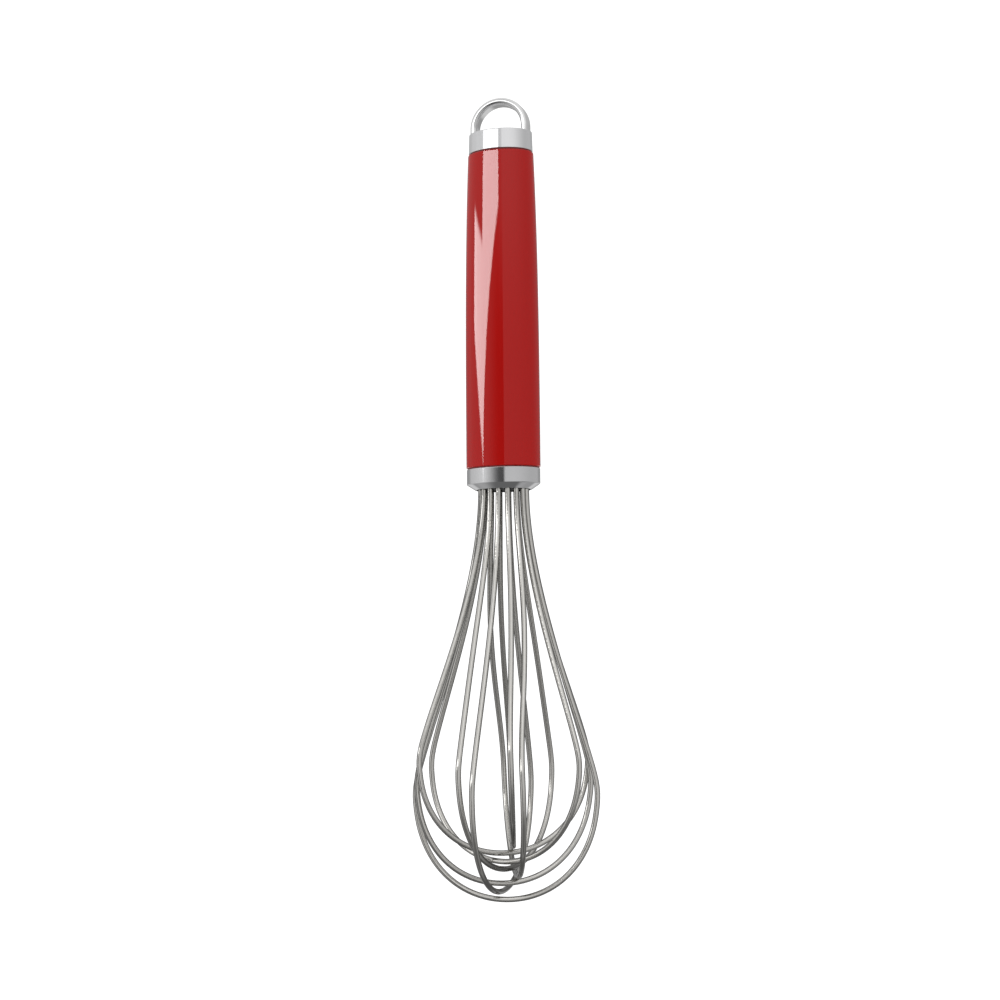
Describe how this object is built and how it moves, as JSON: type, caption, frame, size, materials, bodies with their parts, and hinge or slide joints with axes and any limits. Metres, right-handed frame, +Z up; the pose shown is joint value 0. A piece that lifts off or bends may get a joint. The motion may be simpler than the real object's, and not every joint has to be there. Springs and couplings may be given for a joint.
{
  "type": "balloon whisk",
  "caption": "Hand whisk with an oval moulded grip, steel end cap with a fixed hanging loop, a steel ferrule and a cage of nested round wire loops.",
  "frame": {"origin": "the point under the crown of the hanging loop where a hook bears", "axes": "+Z up along the grip, so the whisk hangs below the origin; X along the wide axis of the oval grip; Y through its depth"},
  "size_m": [0.0651, 0.0667, 0.2902],
  "materials": {
    "red_grip": "deep red moulded ABS, high gloss",
    "satin_steel": "satin stainless steel, softly polished",
    "polished_steel": "polished stainless strap",
    "wire_steel": "drawn stainless wire, electropolished",
    "plain_steel": "ground stainless pin",
    "black_nylon": "glass filled nylon, moulded",
    "dark_holder": "dark nylon, moulded",
    "black_rubber": "soft elastomer",
    "clear_resin": "cast epoxy"
  },
  "bodies": {
    "root": {"hanging_loop": "polished_steel", "loop_pin": "plain_steel", "end_cap": "satin_steel", "end_plug": "black_nylon", "upper_seal": "black_rubber", "grip": "red_grip", "lower_seal": "black_rubber", "ferrule": "satin_steel", "wire_holder": "dark_holder", "potting_resin": "clear_resin", "wire_spacer": "black_nylon", "wire_loop_1": "wire_steel", "wire_loop_2": "wire_steel", "wire_loop_3": "wire_steel", "wire_loop_4": "wire_steel", "wire_loop_5": "wire_steel", "wire_loop_6": "wire_steel", "wire_loop_7": "wire_steel", "wire_loop_8": "wire_steel"}
  },
  "joints": []
}
